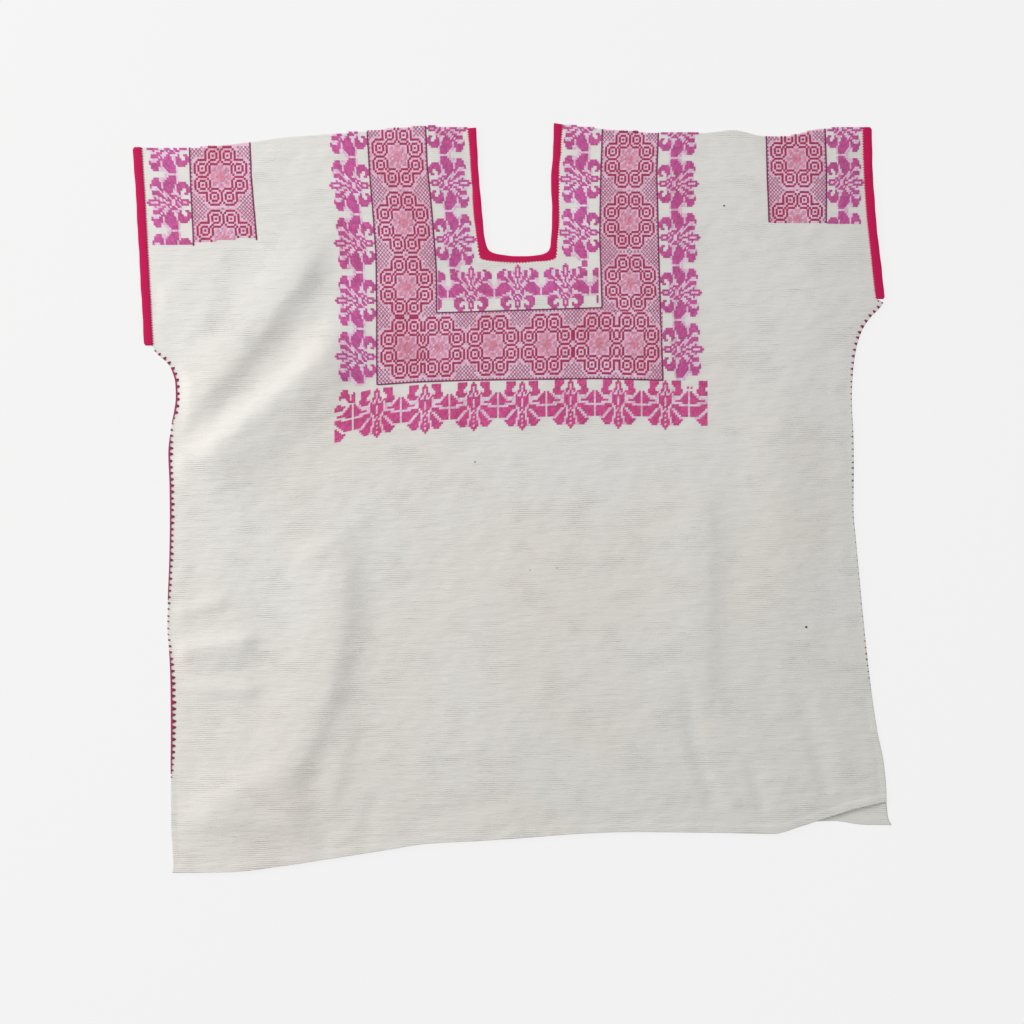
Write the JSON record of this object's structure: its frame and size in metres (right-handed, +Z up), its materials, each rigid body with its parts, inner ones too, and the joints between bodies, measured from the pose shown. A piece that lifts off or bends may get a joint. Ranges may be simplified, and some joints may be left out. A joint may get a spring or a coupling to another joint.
{
  "type": "embroidered blouse",
  "caption": "Short white cotton blouse laid flat, square neck, crimson bindings and cross-stitched bands round the neck and on the sleeves.",
  "frame": {"origin": "middle of the outline, at the underside of the back, on the surface the blouse lies on", "axes": "+Z up out of the front, +Y towards the shoulder fold, +X towards the sleeve on the right as the front is seen"},
  "size_m": [0.76, 0.75, 0.0138],
  "materials": {
    "cotton": "plain-woven off-white cotton, matt",
    "binding": "folded bias strip of crimson cotton, matt",
    "edging": "needle-worked edging of crimson thread",
    "embroidery": "cross-stitch in magenta and crimson stranded cotton, slight sheen"
  },
  "bodies": {
    "root": {"front_panel": "cotton", "back_panel": "cotton", "neck_binding": "binding", "left_sleeve_binding": "binding", "right_sleeve_binding": "binding", "left_side_edging": "edging", "right_side_edging": "edging"}
  },
  "joints": []
}
